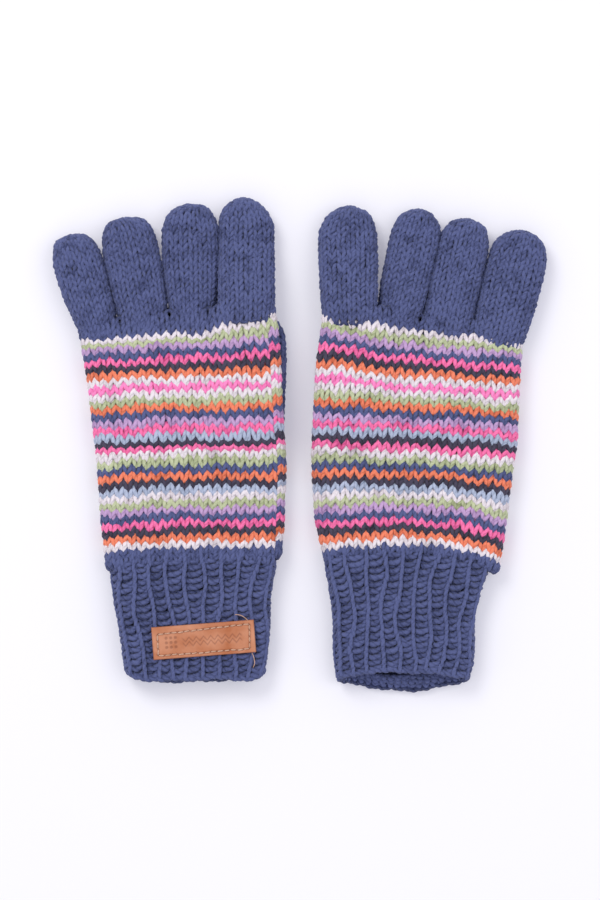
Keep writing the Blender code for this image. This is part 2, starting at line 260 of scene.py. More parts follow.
def welded(node):
    """A CAD node's points, each once, and its triangles."""
    mesh = frame["nodes"][node].data
    mesh.calc_loop_triangles()
    points = np.zeros(len(mesh.vertices) * 3)
    mesh.vertices.foreach_get("co", points)
    corners = np.zeros(len(mesh.loop_triangles) * 3, int)
    mesh.loop_triangles.foreach_get("vertices", corners)
    unique, where = np.unique(np.round(points.reshape(-1, 3), 7), axis=0, return_inverse=True)
    return unique, where.reshape(-1)[corners].reshape(-1, 3)


def outer_loop(points, triangles, origin, normal):
    """The outer outline of a tube where a plane cuts it, as points in order."""
    nudge = 1.7e-9              # keeps the plane off the points themselves
    height = (points - origin) @ normal + nudge
    links = {}
    places = {}
    for triangle in triangles[np.ptp(np.sign(height[triangles]), axis=1) > 0]:
        cut = []
        for a, b in ((0, 1), (1, 2), (2, 0)):
            low, high = sorted((triangle[a], triangle[b]))
            if (height[low] > 0) != (height[high] > 0):
                share = height[low] / (height[low] - height[high])
                places[low, high] = points[low] + (points[high] - points[low]) * share
                cut.append((low, high))
        links.setdefault(cut[0], []).append(cut[1])
        links.setdefault(cut[1], []).append(cut[0])
    loops = []
    left = set(links)
    while left:
        key = min(left)
        outline = []
        while key in left:
            left.discard(key)
            outline.append(places[key])
            key = next((k for k in links[key] if k in left), None)
        loops.append(np.array(outline))
    return max(loops, key=lambda loop: np.ptp(loop, axis=0).sum())


def spread(path, count):
    """Points spaced evenly along a path, its end left out."""
    lengths = np.r_[0, np.cumsum(np.linalg.norm(np.diff(path, axis=0), axis=1))]
    wanted = np.linspace(0, lengths[-1], count, endpoint=False)
    return np.stack([np.interp(wanted, lengths, path[:, k]) for k in range(3)], 1)


def ring(loop, across):
    """A slice as ROUND points: over the top from its lowest place along across, then back underneath."""
    side = loop @ across
    first, last = int(side.argmin()), int(side.argmax())
    turned = np.roll(loop, -first, axis=0)
    split = (last - first) % len(loop)
    one = turned[: split + 1]
    two = np.vstack([turned[split:], turned[:1]])
    if one[:, 2].mean() < two[:, 2].mean():
        one, two = two[::-1], one[::-1]
    return np.vstack([spread(one, ROUND // 2), spread(two, ROUND // 2)])


def smoothed(values, width, axis, wrap):
    """Values averaged with a bell-shaped weight of that width, in steps."""
    reach = max(1, int(3 * width))
    weights = np.exp(-0.5 * (np.arange(-reach, reach + 1) / width) ** 2)
    weights /= weights.sum()
    pads = [(reach, reach) if k == axis else (0, 0) for k in range(values.ndim)]
    if wrap:
        padded = np.pad(values, pads, mode="wrap")
    else:
        padded = np.pad(values, pads, mode="reflect", reflect_type="odd")
    size = values.shape[axis]
    moved = [np.take(padded, range(k, k + size), axis=axis) for k in range(2 * reach + 1)]
    return sum(weight * values_moved for weight, values_moved in zip(weights, moved))


def tube_rings(node, start, end, across_start, across_end, shares):
    """Slices of a CAD tube from start to end, in planes that turn from one end's line to the other's.

    A slice with a much longer outline for its width than usual runs into an opening, and is left out.
    """
    points, triangles = welded(node)
    found = []
    for share in shares:
        across = across_start * (1 - share) + across_end * share
        across /= np.linalg.norm(across)
        normal = np.array([-across[1], across[0], 0.0])
        loop = outer_loop(points, triangles, start + (end - start) * share, normal)
        length = np.linalg.norm(np.roll(loop, -1, 0) - loop, axis=1).sum()
        found.append((share, length / np.ptp(loop @ across), ring(loop, across)))
    longest = 1.25 * np.median([ratio for _, ratio, _ in found])
    kept = [(share, slice_ring) for share, ratio, slice_ring in found if ratio < longest]
    rings = np.array([slice_ring for _, slice_ring in kept])
    return np.array([share for share, _ in kept]), smoothed(rings, 2.2, 1, True)


class Fabric:
    """The middle surface of a knitted tube, looked up by share round the tube and by row."""

    def __init__(self, rings, knots, rows, knot_of, inset):
        """The rings lie at the knots, and knot_of(share, row) says where a row lies.

        rows is the range covered. inset is a depth, or a function that gives it for each row.
        """
        self.first = rows[0]
        count = int(round((rows[1] - rows[0]) / ROW_STEP)) + 1
        row = self.first + ROW_STEP * np.arange(count)[:, None]
        share = np.arange(ROUND)[None, :] / ROUND
        knot = knot_of(share, row)
        last = len(knots) - 1
        place = np.interp(knot, knots, np.arange(len(knots)))
        place += np.minimum(knot - knots[0], 0) / (knots[1] - knots[0])
        place += np.maximum(knot - knots[-1], 0) / (knots[-1] - knots[-2])
        low = np.clip(np.floor(place).astype(int), 0, last - 1)
        part = (place - low)[..., None]
        column = np.broadcast_to(np.arange(ROUND), low.shape)
        skin = rings[low, column] * (1 - part) + rings[low + 1, column] * part
        self.normal = self.outward(skin)
        depth = inset(row) if callable(inset) else inset
        self.points = skin - self.normal * np.broadcast_to(depth, row.shape)[..., None]

    @staticmethod
    def outward(skin):
        """The direction out of the fabric at each of its points."""
        round_way = np.roll(skin, -1, 1) - np.roll(skin, 1, 1)
        normal = np.cross(round_way, np.gradient(skin, axis=0))
        length = np.linalg.norm(normal, axis=2)
        # A row that has closed to a point has no direction, and takes that of the row before it
        closed = length.max(1) < length.max() * 0.02
        for row in np.flatnonzero(closed):
            normal[row] = normal[row - 1]
        normal /= np.maximum(np.linalg.norm(normal, axis=2, keepdims=True), TINY)
        middle = skin.mean(1, keepdims=True)
        return normal * np.sign(((skin - middle) * normal)[: len(skin) // 2].sum())

    def at(self, share, row):
        """Points and outward normals of the middle surface."""
        rows = np.clip((row - self.first) / ROW_STEP, 0, len(self.points) - 1)
        low = np.clip(np.floor(rows).astype(int), 0, len(self.points) - 2)
        up = (rows - low)[:, None]
        columns = np.mod(share, 1.0) * ROUND
        left = np.floor(columns).astype(int) % ROUND
        right = (left + 1) % ROUND
        over = (columns - np.floor(columns))[:, None]
        found = []
        for table in (self.points, self.normal):
            near = table[low, left] * (1 - over) + table[low, right] * over
            far = table[low + 1, left] * (1 - over) + table[low + 1, right] * over
            found.append(near * (1 - up) + far * up)
        normal = found[1] / np.linalg.norm(found[1], axis=1, keepdims=True)
        return found[0], normal


# ---------------------------------------------------------------- yarn

class Yarn:
    """Collects swept yarns for one piece."""

    def __init__(self):
        self.points = []
        self.faces = []
        self.uvs = []
        self.tints = []
        self.count = 0

    def sweep(self, path, up, closed, radius, tint, phase=0.0, sides=SIDES):
        """Adds a yarn along a path. up is the fabric's normal, which keeps the yarn from rolling."""
        count = len(path)
        if closed:
            ahead = np.roll(path, -1, 0) - np.roll(path, 1, 0)
            edges = np.linalg.norm(np.roll(path, -1, 0) - path, axis=1)
            length = np.r_[0, np.cumsum(edges)[:-1]]
            ends = np.append(length, length[-1] + edges[-1])
        else:
            ahead = np.gradient(path, axis=0)
            length = np.r_[0, np.cumsum(np.linalg.norm(np.diff(path, axis=0), axis=1))]
            ends = length
        angle = np.arange(sides) * 2 * np.pi / sides
        self.add_points(path, ahead, up, length, radius, angle, phase)
        self.add_faces(count, count if closed else count - 1, sides, ends)
        # The crown of the yarn is painted paler and its flanks darker: painted light and shade
        self.tints.append((np.broadcast_to(tint, (count,))[:, None] + CROWN_SHADING * np.cos(angle)[None]).ravel())
        self.count += count * sides

    def add_points(self, path, ahead, up, length, radius, angle, phase):
        """The skin of a yarn: round its path, with the two plies turning along it."""
        ahead /= np.maximum(np.linalg.norm(ahead, axis=1, keepdims=True), TINY)
        side = np.cross(ahead, up)
        side /= np.maximum(np.linalg.norm(side, axis=1, keepdims=True), TINY)
        top = np.cross(side, ahead)
        turn = 2 * np.pi * length / TWIST + phase
        swell = 1 + LOBE * np.cos(2 * (angle[None] - turn[:, None]))
        reach = (np.broadcast_to(radius, (len(path),))[:, None] * swell)[..., None]
        spokes = np.cos(angle)[None, :, None] * top[:, None] + np.sin(angle)[None, :, None] * side[:, None]
        self.points.append((path[:, None] + reach * spokes).reshape(-1, 3))

    def add_faces(self, count, steps, sides, ends):
        """The quads of a yarn, with its length along u and its way round along v."""
        i = np.arange(steps)[:, None]
        j = np.arange(sides)[None]
        after = (i + 1) % count
        beside = (j + 1) % sides
        quads = np.stack([i * sides + j, i * sides + beside, after * sides + beside, after * sides + j], -1)
        self.faces.append(quads.reshape(-1, 4) + self.count)
        u = np.stack([ends[i], ends[i], ends[i + 1], ends[i + 1]], -1) / TWIST
        u = np.broadcast_to(u, (steps, sides, 4))
        v = np.stack([j, j + 1, j + 1, j], -1) / sides
        v = np.broadcast_to(v, (steps, sides, 4))
        self.uvs.append(np.stack([u, v], -1).reshape(-1, 2))

    def piece(self, name, material):
        """The collected yarns as one object."""
        points = np.concatenate(self.points)
        faces = np.concatenate(self.faces)
        mesh = bpy.data.meshes.new(name)
        mesh.vertices.add(len(points))
        mesh.vertices.foreach_set("co", points.ravel())
        mesh.loops.add(faces.size)
        mesh.loops.foreach_set("vertex_index", faces.ravel())
        mesh.polygons.add(len(faces))
        mesh.polygons.foreach_set("loop_start", np.arange(len(faces)) * 4)
        mesh.polygons.foreach_set("loop_total", np.full(len(faces), 4))
        mesh.update(calc_edges=True)
        uv = mesh.uv_layers.new(name="yarn")
        uv.data.foreach_set("uv", np.concatenate(self.uvs).ravel())
        tint = mesh.attributes.new("tint", "FLOAT", "POINT")
        tint.data.foreach_set("value", np.concatenate(self.tints))
        mesh.shade_smooth()
        mesh.materials.append(material)
        return add_object(name, mesh)


def drift(rng, count, steps, amount):
    """A value that wanders from stitch to stitch, given at each point of a closed course."""
    knots = rng.normal(0, amount, count)
    place = np.arange(count * steps) / steps
    low = np.floor(place).astype(int)
    part = smooth(place - low)
    return knots[low % count] * (1 - part) + knots[(low + 1) % count] * part


def waves(rng, sizes):
    """Slow unevenness of the fabric: one wave per size, each a number of turns round and rows along."""
    phases = rng.uniform(0, 2 * np.pi, len(sizes))

    def at(share, row):
        return sum(size * np.sin(2 * np.pi * (turns * share + row / rows) + phase)
                   for (size, turns, rows), phase in zip(sizes, phases))

    return at


def knit_course(yarn, fabric, columns, row, rng, sag, start=0.0, climb=FLAT, radius=YARN):
    """One course of stocking stitch.

    start is where on the tube the course begins and ends, in shares of the way round. climb is how many rows
    it has risen at shares of its way; a course with FLAT closes into a ring.
    """
    def uneven(what):
        return drift(rng, columns, STEPS, KNIT_DRIFT[what])

    t = np.arange(columns * STEPS) / STEPS
    phase = 2 * np.pi * t
    wide = LOOP_WIDE * (1 + uneven("wide"))
    tall = LOOP_TALL * (1 + uneven("tall"))
    depth = -LOOP_DEEP * np.cos(2 * phase) + uneven("depth")
    across = t + wide * np.sin(2 * phase) + uneven("across")
    up = row + 0.5 + tall * np.cos(phase) + uneven("up")
    share = start + across / columns
    height = up + np.interp(t / columns, *climb) + sag(share, up)
    points, normals = fabric.at(share, height)
    path = points + normals * depth[:, None]
    thick = radius * (1 + uneven("thick"))
    # Random tone, with painted shade on the deep parts of the loops
    tint = KNIT_TINT + uneven("tint") + DEPTH_SHADING * depth / LOOP_DEEP
    yarn.sweep(path, normals, climb is FLAT, thick, tint, rng.uniform(0, TURN))


def rib_stitches(count):
    """RIB_LOOP as count points, evenly spaced along a smooth closed curve through its own."""
    loop = np.array(RIB_LOOP)
    period = np.array([2.0, 0, 0, 0])
    around = np.vstack([loop[-1:] - period, loop, loop[:2] + period])
    part = np.linspace(0, 1, 12, endpoint=False)[:, None]
    curve = []
    for a, b, c, d in zip(around, around[1:], around[2:], around[3:]):
        bend = (2 * a - 5 * b + 4 * c - d) * part ** 2 + (3 * b - a - 3 * c + d) * part ** 3
        curve.append(b + 0.5 * ((c - a) * part + bend))
    curve = np.vstack([*curve, loop[:1] + period])
    stitch_size = [4.0, 3.2, 1.0]       # about how many millimetres a stitch is wide, high and deep
    lengths = np.linalg.norm(np.diff(curve, axis=0)[:, :3] * stitch_size, axis=1)
    lengths = np.r_[0, np.cumsum(lengths)]
    wanted = np.linspace(0, lengths[-1], count, endpoint=False)
    return np.stack([np.interp(wanted, lengths, curve[:, k]) for k in range(4)], 1)


def paler(across, place, reach, amount):
    """A painted highlight in each pair of rib stitches."""
    return amount * bell((np.mod(across + 1.0, 2.0) - place) / reach)


def rib_course(yarn, fabric, columns, row, rng, sag, sway):
    """One course of single rib. sway moves the ribs sideways, in stitches."""
    def uneven(what):
        return drift(rng, columns, RIB_STEPS // 2, RIB_DRIFT[what])

    pairs = columns // 2
    stitches = np.tile(rib_stitches(RIB_STEPS), (pairs, 1))
    across = stitches[:, 0] + 2 * np.repeat(np.arange(pairs), RIB_STEPS)
    leg = paler(across, *RIB_LEG_HIGHLIGHT)
    share = across / columns
    across = across + sway(share, row) + uneven("across")
    height = stitches[:, 1] * (1 + uneven("tall")) + uneven("up")
    depth = stitches[:, 2] * MM + uneven("depth")
    points, normals = fabric.at(across / columns, row + 0.5 - height + sag(share, row))
    path = points + normals * depth[:, None]
    # Random tone, painted highlights on the leg and hook, and painted shade on the deep parts
    tint = RIB_TINT + uneven("tint") + leg + paler(across, *RIB_HOOK_HIGHLIGHT) + DEPTH_SHADING * depth / MM
    thick = YARN * stitches[:, 3] * (1 + uneven("thick"))
    yarn.sweep(path, normals, True, thick, tint, rng.uniform(0, TURN))


def purl_backs(yarn, fabric, columns, row, sag):
    """The backs of a course's purl stitches, one ring that closes the gaps between the bars."""
    share = np.arange(columns * 4) / (columns * 4)
    place = row + 0.28 + sag(share, row) + 0.06 * np.cos(np.pi * columns * share)
    points, normals = fabric.at(share, place)
    # tint 0.22 paints the backs darker than the rib: painted shade deep in the fabric
    yarn.sweep(points - normals * PURL_DEPTH, normals, True, radius=YARN * 1.15, tint=0.22, sides=6)


# ---------------------------------------------------------------- materials

class Shader:
    """A new material with a Principled shader, and short ways to add nodes to it."""

    def __init__(self, name):
        self.material = bpy.data.materials.new(name)
        self.material.use_nodes = True
        self.nodes = self.material.node_tree.nodes
        self.base = self.nodes["Principled BSDF"]

    def feed(self, node, inputs):
        """Gives each named or numbered input of a node a value or another node's output."""
        for key, value in inputs.items():
            if isinstance(value, bpy.types.NodeSocket):
                self.material.node_tree.links.new(value, node.inputs[key])
            else:
                node.inputs[key].default_value = value

    def add(self, kind, inputs, **settings):
        """A new node with its settings and inputs."""
        node = self.nodes.new(f"ShaderNode{kind}")
        for name, value in settings.items():
            setattr(node, name, value)
        self.feed(node, inputs)
        return node.outputs

    def weigh(self, value, weight, plus):
        """value * weight + plus."""
        return self.add("Math", {0: value, 1: weight, 2: plus}, operation="MULTIPLY_ADD")[0]

    def noise(self, place, scale, detail):
        """Cloudy noise from 0 to 1."""
        return self.add("TexNoise", {"Vector": place, "Scale": scale, "Detail": detail})["Fac"]

    def ramp(self, value, low, high):
        """A colour between two stops, each a position and a colour."""
        ramp = self.nodes.new("ShaderNodeValToRGB")
        for stop, (position, colour) in zip(ramp.color_ramp.elements, (low, high)):
            stop.position = position
            stop.color = (*colour, 1)
        self.feed(ramp, {"Fac": value})
        return ramp.outputs["Color"]

    def bump(self, height, strength, distance):
        """Small relief on the whole surface."""
        bump = self.add("Bump", {"Height": height, "Strength": strength, "Distance": distance})
        self.feed(self.base, {"Normal": bump["Normal"]})


def wool(name, dark, light):
    """Twisted two-ply wool: heathered colour, helical plies and fine fibres."""
    shader = Shader(name)
    shader.feed(shader.base, {
        "Roughness": 0.92, "Specular IOR Level": 0.18, "Sheen Weight": 0.28, "Sheen Roughness": 0.45,
        "Sheen Tint": (*[0.5 + 0.5 * channel for channel in light], 1),
    })
    # Lines of equal turns run along the plies
    uv = shader.add("UVMap", {}, uv_map="yarn")["UV"]
    yarn_place = shader.add("SeparateXYZ", {0: uv})
    turns = shader.weigh(yarn_place["X"], -1.0, yarn_place["Y"])
    wound = shader.add("CombineXYZ", {"X": turns, "Y": yarn_place["X"]})[0]
    stretched = shader.add("Mapping", {"Vector": wound, "Scale": (26.0, 3.0, 1.0)})[0]
    fibres = shader.noise(stretched, 1.0, 3.0)
    # groove is 1 on the plies and falls to 0 between them; added to the lightness it paints shade into the
    # grooves
    ply = shader.add("Math", {0: turns, 1: 0.25}, operation="PINGPONG")[0]
    fade = {"Value": ply, "From Min": 0.12, "From Max": 0.25, "To Min": 1.0, "To Max": 0.0}
    groove = shader.add("MapRange", fade, interpolation_type="SMOOTHERSTEP")["Result"]
    tint = shader.add("Attribute", {}, attribute_name="tint")["Fac"]
    place = shader.add("TexCoord", {})["Object"]
    heather = shader.noise(place, 900.0, 2.0)
    cloud = shader.noise(place, 170.0, 1.0)
    # The tint attribute brings each yarn's random tone and its painted light and shade
    lightness = -1.10
    for source, weight in ((cloud, 0.55), (tint, 0.66), (heather, 0.70), (fibres, 0.80), (groove, 0.26)):
        lightness = shader.weigh(source, weight, lightness)
    shader.feed(shader.base, {"Base Color": shader.ramp(lightness, (0.0, dark), (1.0, light))})
    shader.bump(shader.weigh(fibres, 0.9, groove), 0.8, 0.35 * MM)
    return shader.material


def leather(name):
    """Vegetable tanned leather with paler and darker patches, a fine grain and darker places: the pressed
    pattern, painted shade in the needle holes, and a darker rim and cut sides.
    """
    shader = Shader(name)
    shader.feed(shader.base, {"Roughness": 0.5, "Specular IOR Level": 0.4})
    place = shader.add("TexCoord", {})["Object"]
    patches = shader.ramp(shader.noise(place, 90.0, 4.0), (0.33, LEATHER_DARK), (0.68, LEATHER_PALE))
    pressed_and_shade = shader.add("Attribute", {}, attribute_name="pressed_and_shade")["Fac"]
    colour = shader.add("Mix", {"Factor": pressed_and_shade, "A": patches, "B": LEATHER_PRESSED_AND_SHADE}, data_type="RGBA")
    shader.feed(shader.base, {"Base Color": colour["Result"]})
    grain = shader.add("TexVoronoi", {"Scale": 2200.0, "Vector": place})["Distance"]
    shader.bump(grain, 0.25, 0.1 * MM)
    return shader.material


wools = {name: wool(f"{name}_wool", *pair) for name, pair in WOOL.items()}


# ---------------------------------------------------------------- gloves

joints = {j["name"]: j for j in frame["joints"]}


def corners(node):
    """The low and the high corner of a CAD node's box."""
    low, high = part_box(node)
    return np.array(low), np.array(high)


def edge_line(side, joint):
    """The middle and the direction of a bending line."""
    data = joints[f"{side}_{joint}"]
    return np.array(data["pos_m"]), np.array(data["axis"], float)


def knuckle_line(side):
    """The ends of the knuckle line, from the outer sides of the first and last finger's bases."""
    order = ["little", "ring", "middle", "index"] if side == "left" else ["index", "middle", "ring", "little"]
    mids = [edge_line(side, f"{name}_knuckle") for name in order]
    first = mids[0][0] - mids[0][1] * np.linalg.norm(mids[1][0] - mids[0][0]) * 0.5
    last = mids[3][0] + mids[3][1] * np.linalg.norm(mids[3][0] - mids[2][0]) * 0.5
    first[2] = last[2] = 0.0
    return first, last


def hand_fabric(side):
    """The striped hand, from the wrist line to the knuckle line, rows rising evenly to its top."""
    glove = GLOVES[side]
    rows = len(STRIPES)
    wrist, wrist_way = edge_line(side, "wrist")
    first, last = knuckle_line(side)
    start = np.array([wrist[0], wrist[1], 0.0])
    end = (first + last) / 2
    shares = np.linspace(0.05, 0.94, 26)        # clear of both ends of the tube
    shares, rings = tube_rings(f"{side}_hand", start, end, wrist_way, last - first, shares)
    rings = smoothed(rings, 1.0, 0, False)
    length = np.linalg.norm(end - start)

    def knot_of(share, row):
        place = 2 * np.minimum(share, 1 - share)
        arch = glove["bow"] / length * np.sin(np.pi * place) * np.clip(1 - row / rows, 0, 1.2)
        tug = sum(lift / length * smooth((place - edge) / fade) * bell((row - middle) / reach)
                  for edge, fade, middle, reach, lift in glove["tugs"])
        return row / rows * glove["top"] + arch + tug

    return Fabric(rings, shares, (-3.0, rows + 6.0), knot_of, HAND_INSET)


def mouth_slant(side, low, high):
    """How far the upper layer of a cuff ends before its lower one."""
    points, _ = welded(f"{side}_cuff")
    mouth = points[points[:, 1] < low[1] + 25 * MM]
    top = mouth[mouth[:, 2] > high[2] - 0.1 * MM]
    return max(0.0, top[:, 1].min() - low[1])


def cuff_fabric(side, rounding, inset):
    """The cuff, from the wrist line to the mouth; the slant of the mouth spreads over its rows."""
    wrist, wrist_way = edge_line(side, "wrist")
    low, high = corners(f"{side}_cuff")
    slant = mouth_slant(side, low, high)
    bow = GLOVES[side]["bow"]
    depth = wrist[1] - low[1]
    start = np.array([wrist[0], wrist[1], 0.0])
    end = np.array([wrist[0], low[1], 0.0])
    shares = np.linspace(0.06, 1 - (slant + 1.0 * MM) / depth, 16)
    shares, rings = tube_rings(f"{side}_cuff", start, end, wrist_way, np.array([1.0, 0, 0]), shares)
    rings = smoothed(rings, 0.8, 0, False)
    full_share = 0.98           # the last row's share of the cuff's depth
    corner_reach = 0.09         # share of the width that a rounded corner takes

    def knot_of(share, row):
        along = row / CUFF_ROWS * full_share
        mouth = np.clip(along, 0, 1.2)
        place = 2 * np.minimum(share, 1 - share)
        height = 0.5 + 0.5 * np.sin(2 * np.pi * share)
        lift = slant / depth * np.clip(height * 1.15, 0, 1) * mouth ** 1.5
        both_corners = bell(place / corner_reach) + bell((1 - place) / corner_reach)
        corner = rounding / depth * both_corners * mouth ** 3
        arch = bow / depth * np.sin(np.pi * place) * np.clip(1 - along, 0, 1.2)
        return along - lift - corner - arch

    return Fabric(rings, shares, (-2.0, CUFF_ROWS + 3.0), knot_of, inset)


def finger_shares(length):
    """Where a finger is sliced, as shares of its length: closer together over its round tip."""
    cap = FINGER_CAP / length
    straight = np.linspace(FINGER_FIRST / length, 1 - cap, 9)[:-1]
    return np.r_[straight, 1 - cap + cap * np.sin(np.linspace(0, 1.38, 7))]


def finger_rings(node, start, way, length, lean):
    """Slices of a finger, fuller halfway along, narrower and leaning at the tip, and closed there."""
    side_way = np.array([way[1], -way[0], 0.0])
    end = start + way * length
    shares, rings = tube_rings(node, start, end, side_way, side_way, finger_shares(length))
    rings = smoothed(rings, 0.7, 0, False)
    tip = 15 * MM / length              # where the narrowing starts, as a share back from the tip
    fade = 14 * MM / length             # the share over which it grows
    late = smooth((shares - 1 + tip) / fade)[:, None, None]
    full = np.sin(np.pi * np.clip(shares, 0, 1))[:, None, None]
    middle = rings.mean(1, keepdims=True)
    sideways = ((rings - middle) @ side_way)[..., None] * side_way
    rings = rings + sideways * (FULL * full - TIP_NARROW * late) + side_way * lean * late
    point = rings[-1].mean(0)
    closing = [rings[-1] * (1 - part) + point * part for part in (0.45, 0.8, 1.0)]
    return np.concatenate([rings, closing])


def finger_fabric(node, base, lean, root):
    """A finger or thumb: rows follow the skin's own length, over the round tip to its point.

    root is how far its first rows rise into the hand. Also returns its number of rows and its direction.
    """
    points, _ = welded(node)
    reach = np.linalg.norm((points - base)[:, :2], axis=1)
    tip = points[reach.argmax()]
    way = np.array([tip[0] - base[0], tip[1] - base[1], 0.0])
    length = np.linalg.norm(way)
    way /= length
    rings = finger_rings(node, np.array([base[0], base[1], 0.0]), way, length, lean)
    steps = np.linalg.norm(np.diff(rings, axis=0), axis=2).mean(1)
    along = FINGER_FIRST + np.r_[0, np.cumsum(steps)]
    rows = along[-1] / FINGER_ROW

    def knot_of(share, row):
        return np.broadcast_to(np.minimum(row, rows) * FINGER_ROW, np.broadcast(share, row).shape)

    def inset(row):
        """The first rows lie under the hand's last one, and the tip is drawn in."""
        under_hand = 1.2 * MM * smooth((0.5 - row) / 2.5)
        drawn_in = 1.0 * MM * smooth((row - rows + 4.5) / 3.5)
        return FINGER_INSET + under_hand + drawn_in

    fabric = Fabric(rings, along, (-4.5, rows), knot_of, inset)
    row = fabric.first + ROW_STEP * np.arange(len(fabric.points))
    fabric.points[..., 2] += root * smooth((1.0 - row) / 5.5)[:, None]
    return fabric, rows, way


def make_hand(side, number):
    """The striped hand, one piece for each colour."""
    rng = np.random.default_rng(HAND_SEED + number)
    glove = GLOVES[side]
    fabric = hand_fabric(side)
    sag = waves(rng, HAND_WAVES)
    courses = ["navy"] * glove["navy_below"] + STRIPES + ["navy"] * NAVY_ABOVE
    yarns = {}
    for row, colour in enumerate(courses, start=-glove["navy_below"]):
        yarn = yarns.setdefault(colour, Yarn())
        knit_course(yarn, fabric, HAND_COLUMNS, row - 0.5, rng, sag, start=glove["jog"], climb=glove["climb"])
    for colour, yarn in yarns.items():
        piece = yarn.piece(f"{side}_hand_{colour}", wools[colour])
        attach(piece, f"{side}_hand")
        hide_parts(f"{side}_hand")


def cast_off(yarn, fabric, sag):
    """The edge of the cuff, rings that wave a little with the ribs."""
    share = np.arange(CUFF_COLUMNS * STEPS) / (CUFF_COLUMNS * STEPS)
    for depth, past in EDGE_RINGS:
        row = CUFF_ROWS + past
        place = row + 0.07 * np.cos(np.pi * CUFF_COLUMNS * share) + sag(share, row)
        points, normals = fabric.at(share, place)
        yarn.sweep(points + normals * depth, normals, True, radius=YARN * 1.12, tint=0.6)


def rolled_hem(yarn, side, sag):
    """The hem of the right cuff rolls in, so the lower layer's rim shows below the upper one."""
    hem = cuff_fabric(side, 0.0, HEM_INSET)
    share = np.arange(CUFF_COLUMNS * STEPS) / (CUFF_COLUMNS * STEPS)
    bumps = np.sin(2 * np.pi * CUFF_COLUMNS * share)
    for depth, past in HEM_RINGS:
        row = CUFF_ROWS + past
        points, normals = hem.at(share, row + 0.10 * bumps + sag(share, row))
        thick = YARN * (1.25 + 0.22 * bumps)
        # The yarns are swept inside out so their painted crown light faces into the cuff, and tint 0.8 paints
        # them paler: a painted lit band on the rim
        yarn.sweep(points + normals * depth, -normals, True, radius=thick, tint=0.8)


def make_cuff(side, number):
    """The ribbed cuff."""
    rng = np.random.default_rng(CUFF_SEED + number)
    fabric = cuff_fabric(side, GLOVES[side]["rounding"], CUFF_INSET)
    yarn = Yarn()
    sag = waves(rng, CUFF_WAVES)
    sway = waves(rng, RIB_SWAY)
    for row in range(CUFF_ROWS):
        rib_course(yarn, fabric, CUFF_COLUMNS, row, rng, sag, sway)
        purl_backs(yarn, fabric, CUFF_COLUMNS, row, sag)
    cast_off(yarn, fabric, sag)
    if side == "right":
        rolled_hem(yarn, side, sag)
    piece = yarn.piece(f"{side}_cuff_rib", wools["navy"])
    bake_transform(piece)
    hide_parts(f"{side}_cuff")


def make_finger(side, name, joint, number, columns):
    """A finger or a thumb."""
    rng = np.random.default_rng(FINGER_SEED + number)
    base, _ = edge_line(side, joint)
    first, lean = FINGERS[f"{side}_{name}"]
    root = THUMB_ROOT if name == "thumb" else 0.0
    fabric, rows, way = finger_fabric(f"{side}_{name}", base, lean, root)
    yarn = Yarn()
    sag = waves(rng, FINGER_WAVES)
    courses = int(rows + 0.4 - first)   # the last one may pass the tip by 0.4 of a row
    for row in range(courses):
        narrow = TIP_STITCHES[max(0, row - courses + len(TIP_STITCHES))]
        count = int(round(columns * narrow))
        knit_course(yarn, fabric, count, first + row, rng, sag, radius=FINGER_YARN)
    piece = yarn.piece(f"{side}_{name}_knit", wools["navy"])
    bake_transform(piece)
    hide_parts(f"{side}_{name}")


# ---------------------------------------------------------------- label

class Label:
    """Places on the leather label: x along it and y across it from its centre, z above the floor."""

    def __init__(self, node):
        points, _ = welded(node)
        low, high = points.min(0), points.max(0)
        self.top = high[2]
        self.bottom = low[2]
        self.centre = (low + high) / 2
        long_way = np.linalg.svd((points - self.centre)[:, :2])[2][0]
        self.long_way = np.array([*(long_way * np.sign(long_way[0])), 0.0])
        self.short_way = np.array([-self.long_way[1], self.long_way[0], 0.0])
        self.wide = np.abs((points - self.centre) @ self.long_way).max()
        self.tall = np.abs((points - self.centre) @ self.short_way).max()

    def place(self, x, y, z):
        """Points in the frame."""
        x, y, z = np.broadcast_arrays(x, y, z)
        flat = self.centre * [1, 1, 0]
        return flat + x[..., None] * self.long_way + y[..., None] * self.short_way + z[..., None] * UP

    def sway(self, x, y):
        """The gentle unevenness of a plate that is sewn to ribbing."""
        return 0.25 * MM * (np.sin(x / (7.5 * MM)) * np.cos(y / (9 * MM)) - 1)

    def seam_corners(self):
        """The corners of the seam, inset a little unevenly, as if sewn by hand."""
        return [(-self.wide + 2.9 * MM, self.tall - 3.7 * MM), (self.wide - 2.4 * MM, self.tall - 1.9 * MM),
                (self.wide - 3.0 * MM, -self.tall + 2.0 * MM), (-self.wide + 2.5 * MM, -self.tall + 1.9 * MM)]


def lay_thread(rng, yarn, path, radius, sides=6):
    """A single short thread through the points of a path, thinner towards its ends."""
    fine = np.linspace(0, len(path) - 1, 4 * len(path))
    curve = np.stack([np.interp(fine, np.arange(len(path)), path[:, k]) for k in range(3)], 1)
    curve = smoothed(curve, 2.0, 0, False)
    from_end = np.minimum(np.arange(len(fine)), np.arange(len(fine))[::-1])
    taper = np.minimum(1, 0.25 + from_end / 2)
    normals = np.broadcast_to(UP, curve.shape)
    yarn.sweep(curve, normals, False, radius * taper, rng.uniform(0.35, 0.65), 0.0, sides)


